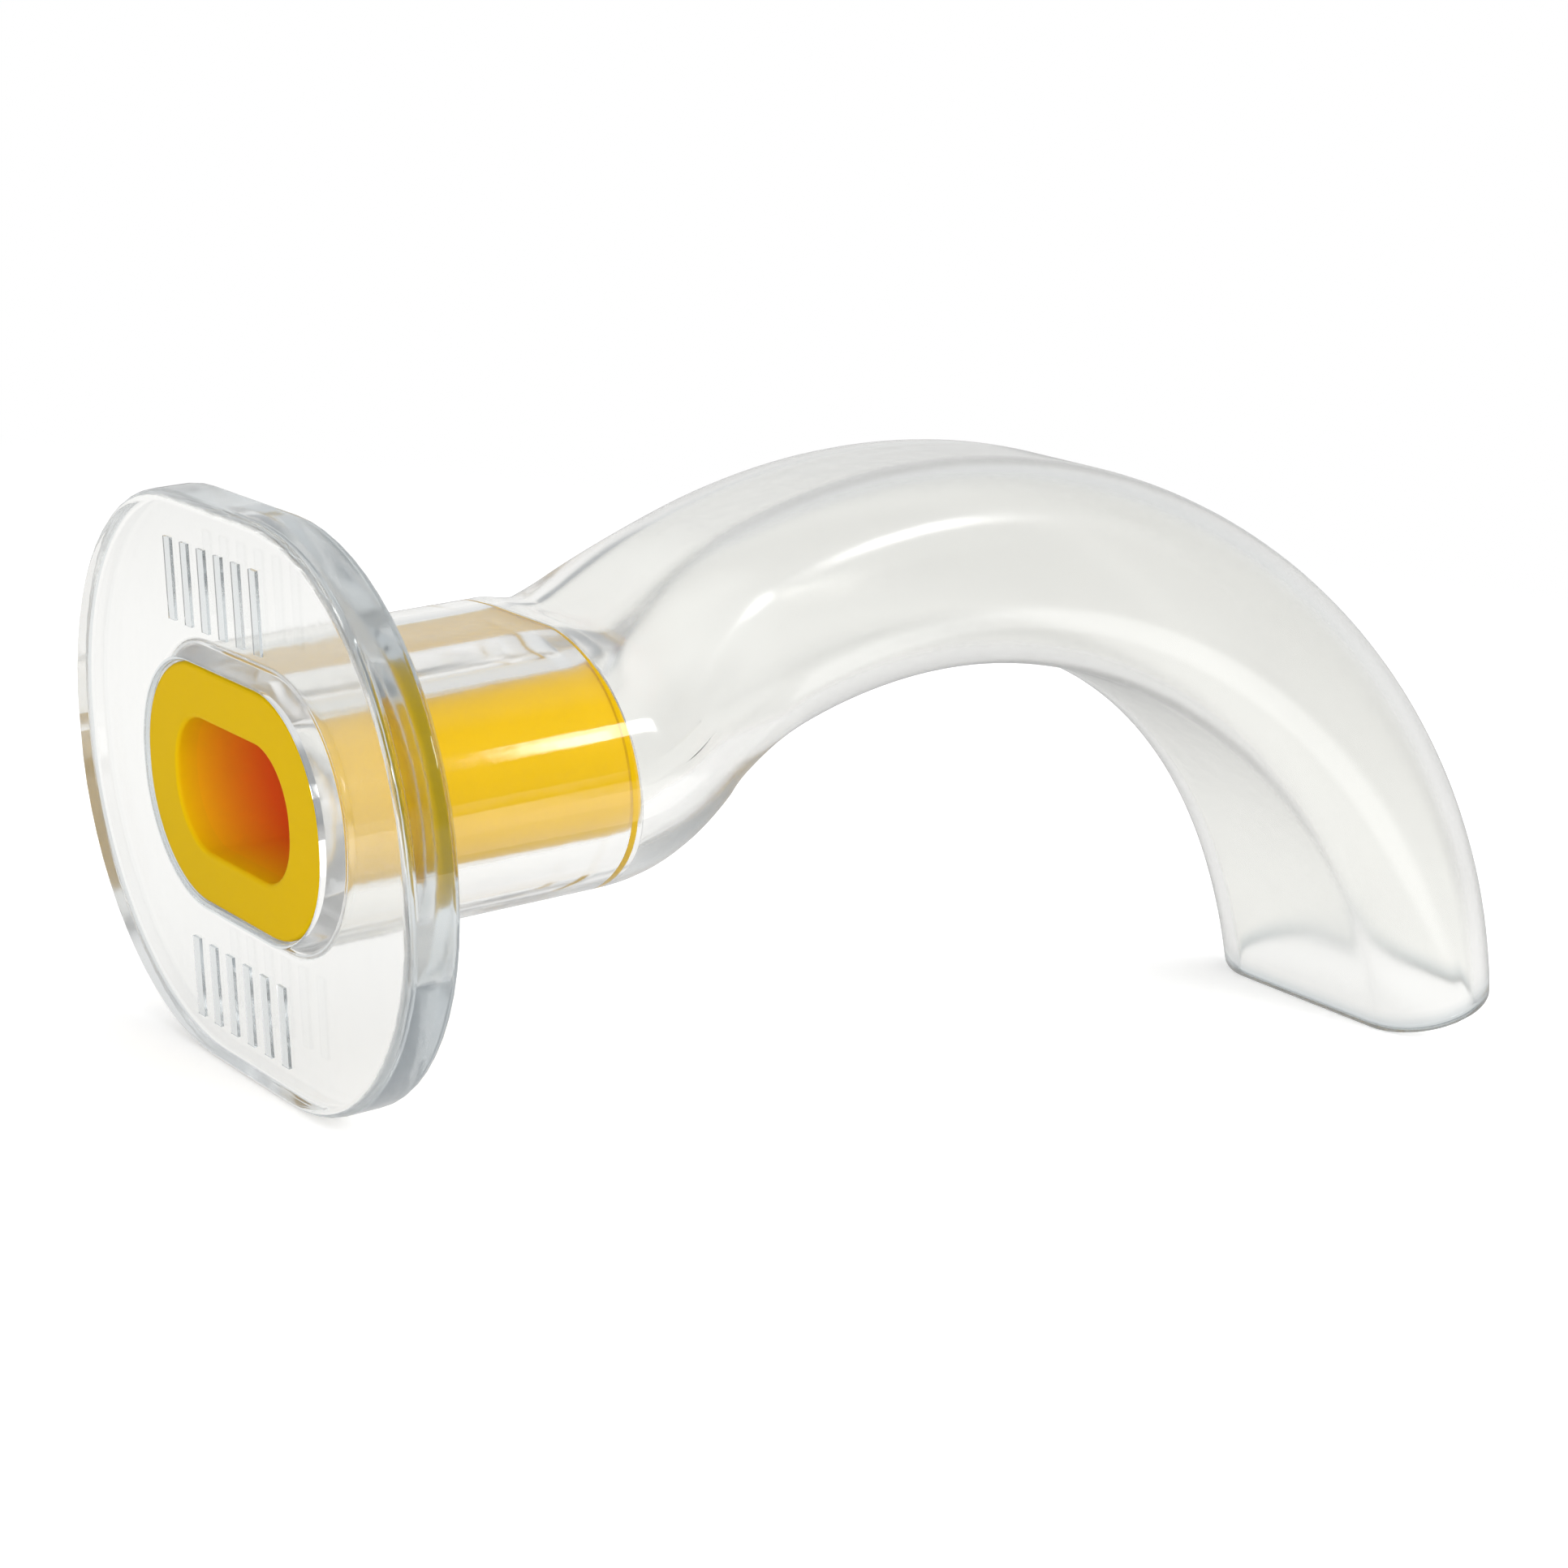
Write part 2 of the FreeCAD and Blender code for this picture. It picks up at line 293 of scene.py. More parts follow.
class Plan:
    """A node tree that is written as expressions."""

    def __init__(self, tree):
        self.tree = tree

    def node(self, kind, settings=None, values=(), output=0):
        """Adds a node, makes its settings, then sets or links its sockets, and returns one output."""
        node = self.tree.nodes.new(kind)
        for name, value in (settings or {}).items():
            setattr(node, name, value)
        pairs = values.items() if isinstance(values, dict) else enumerate(values)
        for key, value in pairs:
            if isinstance(value, Wire):
                self.tree.links.new(value.socket, node.inputs[key])
            else:
                node.inputs[key].default_value = value
        return Wire(self, node.outputs[output] if len(node.outputs) else None)


def ease(value):
    """Smooth step from 0 to 1."""
    value = min(max(value, 0.0), 1.0)
    return value * value * (3 - 2 * value)


def mix(start, end, value):
    return start + (end - start) * value


def grown(section, amount):
    """Section whose outline lies outside or inside another by one amount."""
    return Section(*(size + amount for size in section))


def between(first, last, value):
    return Section(*(mix(a, b, value) for a, b in zip(first, last)))


def at(distance, section, lean=0.0):
    return Ring(distance, *section, lean)


def steps(start, end, spacing):
    """Distances from start to end, both included, no further apart than the spacing."""
    parts = max(1, math.ceil(abs(end - start) / spacing))
    return [mix(start, end, part / parts) for part in range(parts + 1)]


def rounded(section, face, radius, along, spread, faces, guard, lean=0.0):
    """Rings over a small round, from its flat face to its wall, with a guard ring on each side.

    along is 1 where the wall leaves the face towards the tip and -1 where it leaves towards the flange.
    spread is 1 where the face lies outside the wall and -1 where it lies inside.
    """
    rings = [at(face, grown(section, spread * (radius + guard)), lean)]
    for part in range(faces + 1):
        turn = math.pi / 2 * part / faces
        offset = spread * radius * (1 - math.sin(turn))
        rings.append(at(face + along * radius * (1 - math.cos(turn)), grown(section, offset), lean))
    rings.append(at(face + along * (radius + guard), section, lean))
    return rings


def flat(first, last, parts):
    """Rings across the flat face that lies between two rings, without those two."""
    inner = Section(*first[1:4])
    outer = Section(*last[1:4])
    return [at(first.distance, between(inner, outer, part / parts)) for part in range(1, parts)]


def flange_section(body):
    return Section(body.flange_width / 2, body.flange_height / 2, body.flange_corner)


def bore_section(block):
    return Section(block.bore_width / 2, block.bore_height / 2, block.bore_corner)


def sleeve_section(block):
    return Section(block.sleeve_width / 2, block.sleeve_height / 2, block.sleeve_corner)


def lip_section(block):
    return Section(block.lip_width / 2, block.lip_height / 2, block.lip_corner)


def socket_section(block):
    return grown(sleeve_section(block), block.clearance)


def socket_depth(block):
    return block.recess + block.length


def path_length(body):
    rise = body.rise_radius * body.rise_angle
    return body.rise_start + rise + body.curve_radius * (body.rise_angle - body.tip_angle)


def centre_line(body, distance):
    """Place and heading of the centre line past the rise's start, in the airway's own axes."""
    peak = body.rise_angle
    rise = min((distance - body.rise_start) / body.rise_radius, peak)
    fall = max((distance - body.rise_start - body.rise_radius * peak) / body.curve_radius, 0.0)
    falling = peak - fall
    x = body.rise_start + body.rise_radius * math.sin(rise)
    x += body.curve_radius * (math.sin(peak) - math.sin(falling))
    z = body.rise_radius * (1 - math.cos(rise)) + body.curve_radius * (math.cos(falling) - math.cos(peak))
    return x, z, rise - fall


def outer_section(body, block, distance):
    """Outside of the body at a distance along the centre line."""
    bite = grown(socket_section(block), body.socket_wall)
    run = min(max(0.0, distance - body.rise_start) / (path_length(body) - body.rise_start), 1.0)
    flare = ease((run - body.flare_start) / (1 - body.flare_start))
    tube = Section(
        mix(body.tube_width, body.tip_width, flare) / 2,
        mix(body.tube_height, body.tip_height, run ** body.taper_power) / 2,
        mix(body.tube_corner, body.tip_corner, run),
    )
    lowered = ease((distance - body.rise_start - body.height_delay) / body.height_blend)
    narrowed = ease((distance - socket_depth(block) - body.width_delay) / body.width_blend)
    return Section(
        mix(bite.half_width, tube.half_width, narrowed),
        mix(bite.half_height, tube.half_height, lowered),
        mix(bite.corner, tube.corner, narrowed),
    )


def lumen_section(body, block, distance):
    """Air way of the body behind the bite block."""
    settled = ease((distance - socket_depth(block)) / body.width_blend)
    wall = mix(body.socket_wall + body.seat_step, body.tube_wall, settled)
    return grown(outer_section(body, block, distance), -wall)


def body_rings(body, block, net):
    """The whole wall of the clear moulding, from the socket's mouth round the flange, the tip and back."""
    socket = socket_section(block)
    depth = socket_depth(block)
    counterbore = grown(lip_section(block), block.clearance)
    counterbore_depth = block.recess + block.lip_thickness + block.clearance
    bite = grown(socket, body.socket_wall)
    flange = flange_section(body)
    end = path_length(body)
    outer_end = outer_section(body, block, end)
    lumen_end = lumen_section(body, block, end)
    lumen_start = lumen_section(body, block, depth)
    shoulder_end = depth + body.width_delay + body.width_blend
    shape = (net.round_faces, net.guard)

    def lean(distance):
        return body.tip_bevel * ease((distance - end + body.bevel_reach) / body.bevel_reach)

    def sweep(section_at, distances):
        return [at(distance, section_at(body, block, distance), lean(distance)) for distance in distances]

    mouth = rounded(counterbore, 0.0, body.mouth_round, 1, 1, *shape)
    ledge_edge = rounded(socket, counterbore_depth, body.seat_round, 1, 1, *shape)
    ledge_corner = rounded(counterbore, counterbore_depth, body.seat_round, -1, -1, *shape)
    rim_front = rounded(flange, 0.0, body.edge_round, 1, -1, *shape)
    rim_back = rounded(flange, body.flange_thickness, body.edge_round, -1, -1, *shape)
    root = rounded(bite, body.flange_thickness, body.root_round, 1, 1, *shape)
    lip_outer = rounded(outer_end, end, body.lip_round, -1, -1, net.round_faces, 0.0, body.tip_bevel)
    lip_inner = rounded(lumen_end, end, body.lip_round, -1, 1, net.round_faces, 0.0, body.tip_bevel)
    seat_edge = rounded(lumen_start, depth, body.seat_round, 1, 1, *shape)
    seat_corner = rounded(socket, depth, body.seat_round, -1, -1, *shape)

    outer_start = body.flange_thickness + body.root_round + net.guard
    lip_start = end - body.lip_round
    bite_rings = sweep(outer_section, steps(outer_start, body.rise_start, net.step)[1:])
    shoulder_rings = sweep(outer_section, steps(body.rise_start, shoulder_end, net.shoulder_step)[1:])
    tube_rings = sweep(outer_section, steps(shoulder_end, lip_start, net.step)[1:-1])
    lumen_rings = sweep(lumen_section, steps(lip_start, shoulder_end, net.step)[1:])
    lumen_start_at = depth + body.seat_round + net.guard
    lumen_rings += sweep(lumen_section, steps(shoulder_end, lumen_start_at, net.shoulder_step)[1:-1])
    socket_start = depth - body.seat_round - net.guard
    socket_rings = [at(d, socket) for d in steps(socket_start, ledge_edge[-1].distance, net.step)[1:-1]]
    counterbore_at = steps(ledge_corner[-1].distance, mouth[-1].distance, net.counterbore_step)[1:-1]
    counterbore_rings = [at(d, counterbore) for d in counterbore_at]

    rings = mouth[::-1]
    rings += flat(mouth[0], rim_front[0], net.flange_rings)
    rings += rim_front
    rings += [at(d, flange) for d in steps(rim_front[-1].distance, rim_back[-1].distance, net.step)[1:-1]]
    rings += rim_back[::-1]
    rings += flat(rim_back[0], root[0], net.flange_rings)
    rings += root + bite_rings + shoulder_rings + tube_rings
    rings += lip_outer[-2::-1][:-1]
    rings += lip_inner[1:-1]
    rings += lumen_rings
    rings += seat_edge[::-1] + seat_corner + socket_rings + ledge_edge[::-1]
    rings += flat(ledge_edge[0], ledge_corner[0], net.step_rings)
    rings += ledge_corner + counterbore_rings
    return rings


def block_rings(block, net):
    """The bite block's skin, from its bore over the lip, the sleeve, the ridge and the back face."""
    sleeve = sleeve_section(block)
    lip = lip_section(block)
    ridge = grown(sleeve, block.clearance + block.ridge_bite)
    bore = bore_section(block)
    front = block.recess
    shoulder = front + block.lip_thickness
    back = front + block.length
    ridge_end = back - block.edge_round
    ridge_start = ridge_end - block.ridge_length
    ramp = block.clearance
    small = block.edge_round / 2
    shape = (net.round_faces, net.guard)
    bore_front = rounded(bore, front, block.edge_round, 1, 1, *shape)
    lip_front = rounded(lip, front, block.edge_round, 1, -1, *shape)
    lip_back = rounded(lip, shoulder, small, -1, -1, *shape)
    slim = grown(sleeve, -block.draft)
    sleeve_front = rounded(slim, shoulder, small, 1, 1, *shape)
    sleeve_back = rounded(sleeve, back, block.edge_round, -1, -1, *shape)
    bore_back = rounded(bore, back, block.edge_round, -1, 1, *shape)
    rings = bore_front[::-1]
    rings += flat(bore_front[0], lip_front[0], net.end_rings)
    rings += lip_front
    rings += [at(d, lip) for d in steps(lip_front[-1].distance, lip_back[-1].distance, net.step)[1:-1]]
    rings += lip_back[::-1]
    rings += flat(lip_back[0], sleeve_front[0], net.step_rings)
    rings += sleeve_front
    draft_start = sleeve_front[-1].distance
    for part in steps(0.0, 1.0, net.step / block.length)[1:]:
        rings.append(at(mix(draft_start, ridge_start, part), between(slim, sleeve, part)))
    rings += [at(ridge_start + ramp, ridge), at(ridge_end - ramp, ridge), at(ridge_end - ramp / 2, sleeve)]
    rings += sleeve_back[-2::-1]
    rings += flat(sleeve_back[0], bore_back[0], net.end_rings)
    rings += bore_back
    rings += [at(d, bore) for d in steps(bore_back[-1].distance, bore_front[-1].distance, net.step)[1:-1]]
    return rings


SWEEP_SIZES = ("Rise start", "Rise radius", "Rise angle", "Curve radius", "Tilt")
SWEEP_COUNTS = ("Corner faces", "Side faces", "Top faces")


def sweep_tree():
    """Geometry nodes that carry oblong rings along the airway's centre line and close them to one skin."""
    tree = bpy.data.node_groups.new("airway_sweep", "GeometryNodeTree")
    interface = tree.interface
    interface.new_socket("Geometry", in_out="INPUT", socket_type="NodeSocketGeometry")
    for name in SWEEP_SIZES:
        interface.new_socket(name, in_out="INPUT", socket_type="NodeSocketFloat")
    for name in SWEEP_COUNTS:
        interface.new_socket(name, in_out="INPUT", socket_type="NodeSocketInt")
    interface.new_socket("Place", in_out="INPUT", socket_type="NodeSocketVector")
    interface.new_socket("Material", in_out="INPUT", socket_type="NodeSocketMaterial")
    interface.new_socket("Geometry", in_out="OUTPUT", socket_type="NodeSocketGeometry")
    plan = Plan(tree)
    group_input = tree.nodes.new("NodeGroupInput")

    def given(name):
        return Wire(plan, group_input.outputs[name])

    corner_faces, side_faces, top_faces = (given(name) for name in SWEEP_COUNTS)
    quarter = corner_faces + side_faces + top_faces
    row = quarter * 4 + 1
    line = {"Geometry": given("Geometry")}
    rings = plan.node("GeometryNodeAttributeDomainSize", {"component": "MESH"}, line, "Point Count")
    grid_size = {"Vertices X": rings + 1, "Vertices Y": row, "Size X": 1.0, "Size Y": 1.0}
    grid = plan.node("GeometryNodeMeshGrid", None, grid_size, "Mesh")
    index = plan.node("GeometryNodeInputIndex")
    ring = ((index + 0.5) / row).math("FLOOR")
    around = index - ring * row
    ring_index = ring.math("MODULO", rings)

    def ring_value(name):
        """One ring's size, read from the line of rings that comes in."""
        kind = {"data_type": "FLOAT"}
        value = plan.node("GeometryNodeInputNamedAttribute", kind, {"Name": name}, "Attribute")
        return plan.node(
            "GeometryNodeSampleIndex",
            {"data_type": "FLOAT", "domain": "POINT"},
            {**line, "Value": value, "Index": ring_index},
        )

    distance, half_width, half_height, corner, lean = (ring_value(name) for name in Ring._fields)

    within = around.math("PINGPONG", quarter)
    side = (within / side_faces).clamp()
    turn = ((within - side_faces) / corner_faces).clamp() * (math.pi / 2)
    top = ((within - side_faces - corner_faces) / top_faces).clamp()
    quadrant = (around / quarter) * (math.pi / 2)
    across = ((half_width - corner) * (1.0 - top) + corner * turn.cos()) * quadrant.cos().math("SIGN")
    height = ((half_height - corner) * side + corner * turn.sin()) * quadrant.sin().math("SIGN")

    rise_start, rise_radius, peak, curve_radius, tilt = (given(name) for name in SWEEP_SIZES)
    rise = ((distance - rise_start) / rise_radius).most(0.0).least(peak)
    fall = ((distance - rise_start - rise_radius * peak) / curve_radius).most(0.0)
    falling = peak - fall
    line_x = distance.least(rise_start) + rise_radius * rise.sin()
    line_x = line_x + curve_radius * (peak.sin() - falling.sin())
    line_z = rise_radius * (1.0 - rise.cos()) + curve_radius * (falling.cos() - peak.cos())
    heading = rise - fall + lean
    x = line_x - height * heading.sin()
    z = line_z + height * heading.cos()

    turned_x = x * tilt.cos() - z * tilt.sin()
    turned_z = x * tilt.sin() + z * tilt.cos()
    turned = plan.node("ShaderNodeCombineXYZ", None, [turned_x, across, turned_z])
    place = plan.node("ShaderNodeVectorMath", {"operation": "ADD"}, [turned, given("Place")])
    skin = plan.node("GeometryNodeSetPosition", None, {"Geometry": grid, "Position": place})
    skin = plan.node("GeometryNodeMergeByDistance", None, {"Geometry": skin, "Distance": 1e-6})
    skin = plan.node("GeometryNodeSetShadeSmooth", None, {"Geometry": skin, "Shade Smooth": True})
    skin = plan.node("GeometryNodeRealizeInstances", None, {"Geometry": skin})
    skin = plan.node("GeometryNodeSetMaterial", None, {"Geometry": skin, "Material": given("Material")})
    group_output = tree.nodes.new("NodeGroupOutput")
    tree.links.new(skin.socket, group_output.inputs["Geometry"])
    return tree


class Pose:
    """Where the frame holds the airway: the tilt of its bite axis and the middle of the flange's face."""

    def __init__(self):
        mounts = {mount["name"]: mount for mount in frame["record"]["mounts"]}
        face = mounts["flange_front_face"]
        outward = Vector(face["axis"])
        sizes = bpy.context.scene.airway_body
        block = bpy.context.scene.airway_block
        bite_height = (socket_section(block).half_height + sizes.socket_wall) * 2
        above = (sizes.flange_height + bite_height) / 4
        self.tilt = math.atan2(-outward.z, -outward.x)
        self.turn = Matrix.Rotation(-self.tilt, 4, "Y")
        self.place = Vector(face["pos_m"]) - self.turn @ Vector((0, 0, above))
        self.matrix = Matrix.Translation(self.place) @ self.turn


def swept(name, rings, material, node):
    """A piece made by the sweep tree and put in the place of its CAD node."""
    scene = bpy.context.scene
    line = bpy.data.meshes.new(name + "_rings")
    line.from_pydata([(ring.distance, 0.0, 0.0) for ring in rings], [], [])
    for field in Ring._fields:
        values = line.attributes.new(field, "FLOAT", "POINT")
        values.data.foreach_set("value", [getattr(ring, field) for ring in rings])
    piece = bpy.data.objects.new(name, line)
    scene.collection.objects.link(piece)
    tree = bpy.data.node_groups.get("airway_sweep") or sweep_tree()
    modifier = piece.modifiers.new("sweep", "NODES")
    modifier.node_group = tree
    body = scene.airway_body
    net = scene.airway_net
    pose = Pose()
    given = {
        "Rise start": body.rise_start,
        "Rise radius": body.rise_radius,
        "Rise angle": body.rise_angle,
        "Curve radius": body.curve_radius,
        "Tilt": pose.tilt,
        "Corner faces": net.corner_faces,
        "Side faces": net.side_faces,
        "Top faces": net.top_faces,
        "Place": pose.place,
        "Material": material,
    }
    for item in tree.interface.items_tree:
        if item.in_out == "INPUT" and item.name in given:
            modifier[item.identifier] = given[item.name]
    skin = plain(piece)
    skin.materials.clear()
    skin.materials.append(material)
    skin.polygons.foreach_set("material_index", [0] * len(skin.polygons))
    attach(piece, "root")
    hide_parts(node)
    return piece


def plain(piece):
    """Puts what the modifiers make into the piece's own mesh and takes them off, faces turned outwards."""
    evaluated = piece.evaluated_get(bpy.context.evaluated_depsgraph_get())
    mesh = bpy.data.meshes.new_from_object(evaluated)
    piece.modifiers.clear()
    piece.data = mesh
    work = bmesh.new()
    work.from_mesh(mesh)
    bmesh.ops.recalc_face_normals(work, faces=work.faces)
    work.to_mesh(mesh)
    work.free()
    mesh.name = piece.name
    return mesh


def material_plan(name):
    """A new material with an empty node tree, its plan and its object coordinates."""
    material = bpy.data.materials.new(name)
    material.use_nodes = True
    material.node_tree.nodes.clear()
    plan = Plan(material.node_tree)
    where = plan.node("ShaderNodeTexCoord", None, (), "Object")
    return material, plan, where


def noise(plan, where, scale, detail, roughness=0.5):
    """Noise with a scale in features per metre."""
    return plan.node(
        "ShaderNodeTexNoise", {"noise_dimensions": "3D"},
        {"Vector": where, "Scale": scale, "Detail": detail, "Roughness": roughness}, "Fac",
    )


def blend(plan, factor, first, second):
    return plan.node("ShaderNodeMix", {"data_type": "RGBA"}, {0: factor, 6: first, 7: second}, 2)


def smooth(plan, value, start, end):
    """Smooth step of a value, 0 at the start and 1 at the end."""
    span = {"Value": value, "From Min": start, "From Max": end}
    return plan.node("ShaderNodeMapRange", {"interpolation_type": "SMOOTHSTEP"}, span)


def bumped(plan, strength, height, pattern):
    """Surface direction over a pattern of the given height in metres."""
    relief = {"Strength": strength, "Distance": height, "Height": pattern}
    return plan.node("ShaderNodeBump", None, relief, "Normal")


def finished(plan, shader):
    plan.node("ShaderNodeOutputMaterial", None, {"Surface": shader})


def local_axes(plan, where):
    """Depth behind the flange's face, place across it and height above the bite axis."""
    pose = Pose()
    local = plan.node(
        "ShaderNodeMapping",
        {"vector_type": "TEXTURE"},
        {"Vector": where, "Location": pose.place, "Rotation": (0.0, -pose.tilt, 0.0)},
    )
    return (plan.node("ShaderNodeSeparateXYZ", None, [local], axis) for axis in "XYZ")


def from_core(across, height, section):
    """Distance from the core of an oblong section, which is its corner radius all along the outline."""
    past_side = (across.math("ABSOLUTE") - (section.half_width - section.corner)).most(0.0)
    past_top = (height.math("ABSOLUTE") - (section.half_height - section.corner)).most(0.0)
    return (past_side * past_side + past_top * past_top).math("SQRT")


def clear_plastic():
    """Clear soft plastic with faint flow marks from the mould, painted shade at the rim, the socket's mouth,
    the bars and the tip, and a slightly cloudy tube.
    """
    scene = bpy.context.scene
    finish = scene.airway_finish
    body = scene.airway_body
    material, plan, where = material_plan("clear_plastic")
    depth, across, height = local_axes(plan, where)

    # Painted shade: masks for the rim, the socket's mouth, the raised bars and the last of the tip, which
    # get the darker edge colour below.
    slack = 0.1 * MM
    flange = flange_section(body)
    rim = from_core(across, height, flange).math("GREATER_THAN", flange.corner - finish.edge_reach)
    rim = rim * depth.math("LESS_THAN", body.flange_thickness + slack)
    mouth = grown(lip_section(scene.airway_block), scene.airway_block.clearance)
    in_mouth = from_core(across, height, mouth).math("LESS_THAN", mouth.corner + finish.edge_reach)
    in_mouth = in_mouth * depth.math("LESS_THAN", finish.mouth_reach)
    raised = depth.math("LESS_THAN", -scene.airway_marks.rise / 10)
    end_x, end_z, heading = centre_line(body, path_length(body))
    cut = heading + body.tip_bevel
    past_cut = (depth - end_x) * math.cos(cut) + (height - end_z) * math.sin(cut)
    tip = ((past_cut + finish.tip_reach) / finish.tip_fade).clamp()
    edges = rim.most(in_mouth).most(raised).most(tip)
    on_tube = ((depth - body.rise_start) / finish.tube_fade).clamp()

    flow = noise(plan, where, 220.0, 3.0)
    grain = noise(plan, where, 2600.0, 2.0)
    tint = tuple(finish.clear_tint)
    deeper = tuple(channel * 0.975 for channel in tint[:3]) + (1.0,)
    clear = blend(plan, flow, tint, deeper)
    # Painted shade: the base colour turns to the darker edge colour on the masked edges.
    shader = plan.node(
        "ShaderNodeBsdfPrincipled",
        None,
        {
            "Base Color": blend(plan, edges, clear, tuple(finish.painted_edge_shade)),
            "Roughness": mix(finish.clear_rough, finish.tube_rough, on_tube) + (grain - 0.5) * 0.03,
            "IOR": finish.clear_ior,
            "Transmission Weight": 1.0,
            "Normal": bumped(plan, 0.05, 0.4 * MM, flow + grain * 0.008),
        },
    )
    finished(plan, shader)
    return material


def yellow_plastic():
    """Hard yellow plastic: a warmer sleeve, a darker and greener lip that is painted shade, and orange deep
    inside the bore that is painted shade and bounce light.
    """
    scene = bpy.context.scene
    finish = scene.airway_finish
    block = scene.airway_block
    material, plan, where = material_plan("yellow_plastic")
    mottle = noise(plan, where, 300.0, 3.0)
    grain = noise(plan, where, 4000.0, 2.0)
    depth, across, height = local_axes(plan, where)

    bore_slack = 0.15 * MM
    lip_slack = 0.05 * MM
    bore = bore_section(block)
    # Painted shade and bounce light: deep inside the bore the yellow turns orange.
    inside = from_core(across, height, bore).math("LESS_THAN", bore.corner + bore_slack)
    deep = inside * ((depth - block.recess) / finish.bore_fade).clamp()
    # Painted shade: the lip face gets a darker, greener copy of the yellow.
    lip = depth.math("LESS_THAN", block.recess + block.lip_thickness + lip_slack)
    yellow = tuple(finish.yellow)
    pale = tuple(min(1.0, channel * 1.04) for channel in yellow[:3]) + (1.0,)
    skin = blend(plan, lip, blend(plan, mottle, yellow, pale), tuple(finish.lip_shaded_yellow))
    shader = plan.node(
        "ShaderNodeBsdfPrincipled",
        None,
        {
            "Base Color": blend(plan, deep, skin, tuple(finish.bore_shade_orange)),
            "Roughness": grain * 0.06 + 0.36,
            "IOR": 1.49,
            "Specular IOR Level": 0.02,
            "Normal": bumped(plan, 0.06, 0.3 * MM, mottle + grain * 0.05),
        },
    )
    finished(plan, shader)
    return material


def raised_marks():
    """The two plain rows of bars that stand on the flange, above and below the socket, as one mesh."""
    marks = bpy.context.scene.airway_marks
    size = Vector((marks.rise * 2, marks.bar_width, marks.bar_length))
    work = bmesh.new()
    for side in (-1, 1):
        for index in range(marks.bar_count):
            across = (index - (marks.bar_count - 1) / 2) * marks.bar_pitch
            place = Matrix.Translation((0.0, across, side * marks.middle)) @ Matrix.Diagonal((*size, 1.0))
            bmesh.ops.create_cube(work, size=1.0, matrix=place)
    work.transform(Pose().matrix)
    mesh = bpy.data.meshes.new("raised_marks")
    work.to_mesh(mesh)
    work.free()
    return mesh


class AIRWAY_OT_body(Operator):
    """Make the clear moulded body with its raised marks"""

    bl_idname = "airway.body"
    bl_label = "Clear body"

    def execute(self, context):
        scene = context.scene
        rings = body_rings(scene.airway_body, scene.airway_block, scene.airway_net)
        body = swept("clear_body", rings, clear_plastic(), "airway_body")
        marks = bpy.data.objects.new("raised_marks", raised_marks())
        marks.data.materials.append(body.data.materials[0])
        scene.collection.objects.link(marks)
        union = body.modifiers.new("marks", "BOOLEAN")
        union.operation = "UNION"
        union.solver = "MANIFOLD"
        union.object = marks
        context.view_layer.update()
        mesh = plain(body)
        mesh.set_sharp_from_angle(angle=SHARP_ANGLE)
        bpy.data.objects.remove(marks)
        return {"FINISHED"}


class AIRWAY_OT_block(Operator):
    """Make the yellow bite block that sits in the socket"""

    bl_idname = "airway.block"
    bl_label = "Bite block"

    def execute(self, context):
        scene = context.scene
        rings = block_rings(scene.airway_block, scene.airway_net)
        piece = swept("yellow_bite_block", rings, yellow_plastic(), "bite_block")
        piece.data.set_sharp_from_angle(angle=SHARP_ANGLE)
        return {"FINISHED"}


def camera_place(stage, pose):
    """The camera's matrix, from where it stands in the airway's own axes."""
    turn = stage.azimuth
    rise = stage.elevation
    back = Vector((math.sin(turn) * math.cos(rise), -math.cos(turn) * math.cos(rise), math.sin(rise)))
    right = Vector((math.cos(turn), math.sin(turn), 0.0))
    up = back.cross(right)
    aim = Vector((stage.aim, 0.0, 0.0)) + right * stage.aim_right + up * stage.aim_up
    rolled_right = right * math.cos(stage.roll) + up * math.sin(stage.roll)
    rolled_up = up * math.cos(stage.roll) - right * math.sin(stage.roll)
    matrix = Matrix((rolled_right, rolled_up, back)).transposed().to_4x4()
    matrix.translation = aim + back * stage.distance
    return pose.matrix @ matrix


def area_light(name, place, aim, size, power):
    """A soft box that faces a point of the object."""
    data = bpy.data.lights.new(name, "AREA")
    data.shape = "RECTANGLE"
    data.size = size[0]
    data.size_y = size[1]
    data.energy = power
    light = bpy.data.objects.new(name, data)
    light.location = place
    light.rotation_mode = "QUATERNION"
    light.rotation_quaternion = (aim - place).to_track_quat("-Z", "Y")
    bpy.context.scene.collection.objects.link(light)


def ray_kinds(plan):
    """Whether a ray is the camera's, out of clear plastic, off a shiny face, or lights a plain one."""
    path = plan.tree.nodes.new("ShaderNodeLightPath")
    kinds = ("Is Camera Ray", "Is Transmission Ray", "Is Glossy Ray", "Diffuse Depth")
    camera, transmission, glossy, depth = (Wire(plan, path.outputs[kind]) for kind in kinds)
    return camera, transmission, glossy, depth.math("GREATER_THAN", 0.5)


def grey(level, cool=0.0):
    """A grey in linear light, a little bluer where it is cool."""
    return (level * (1.0 - cool), level, level * (1.0 + cool), 1.0)


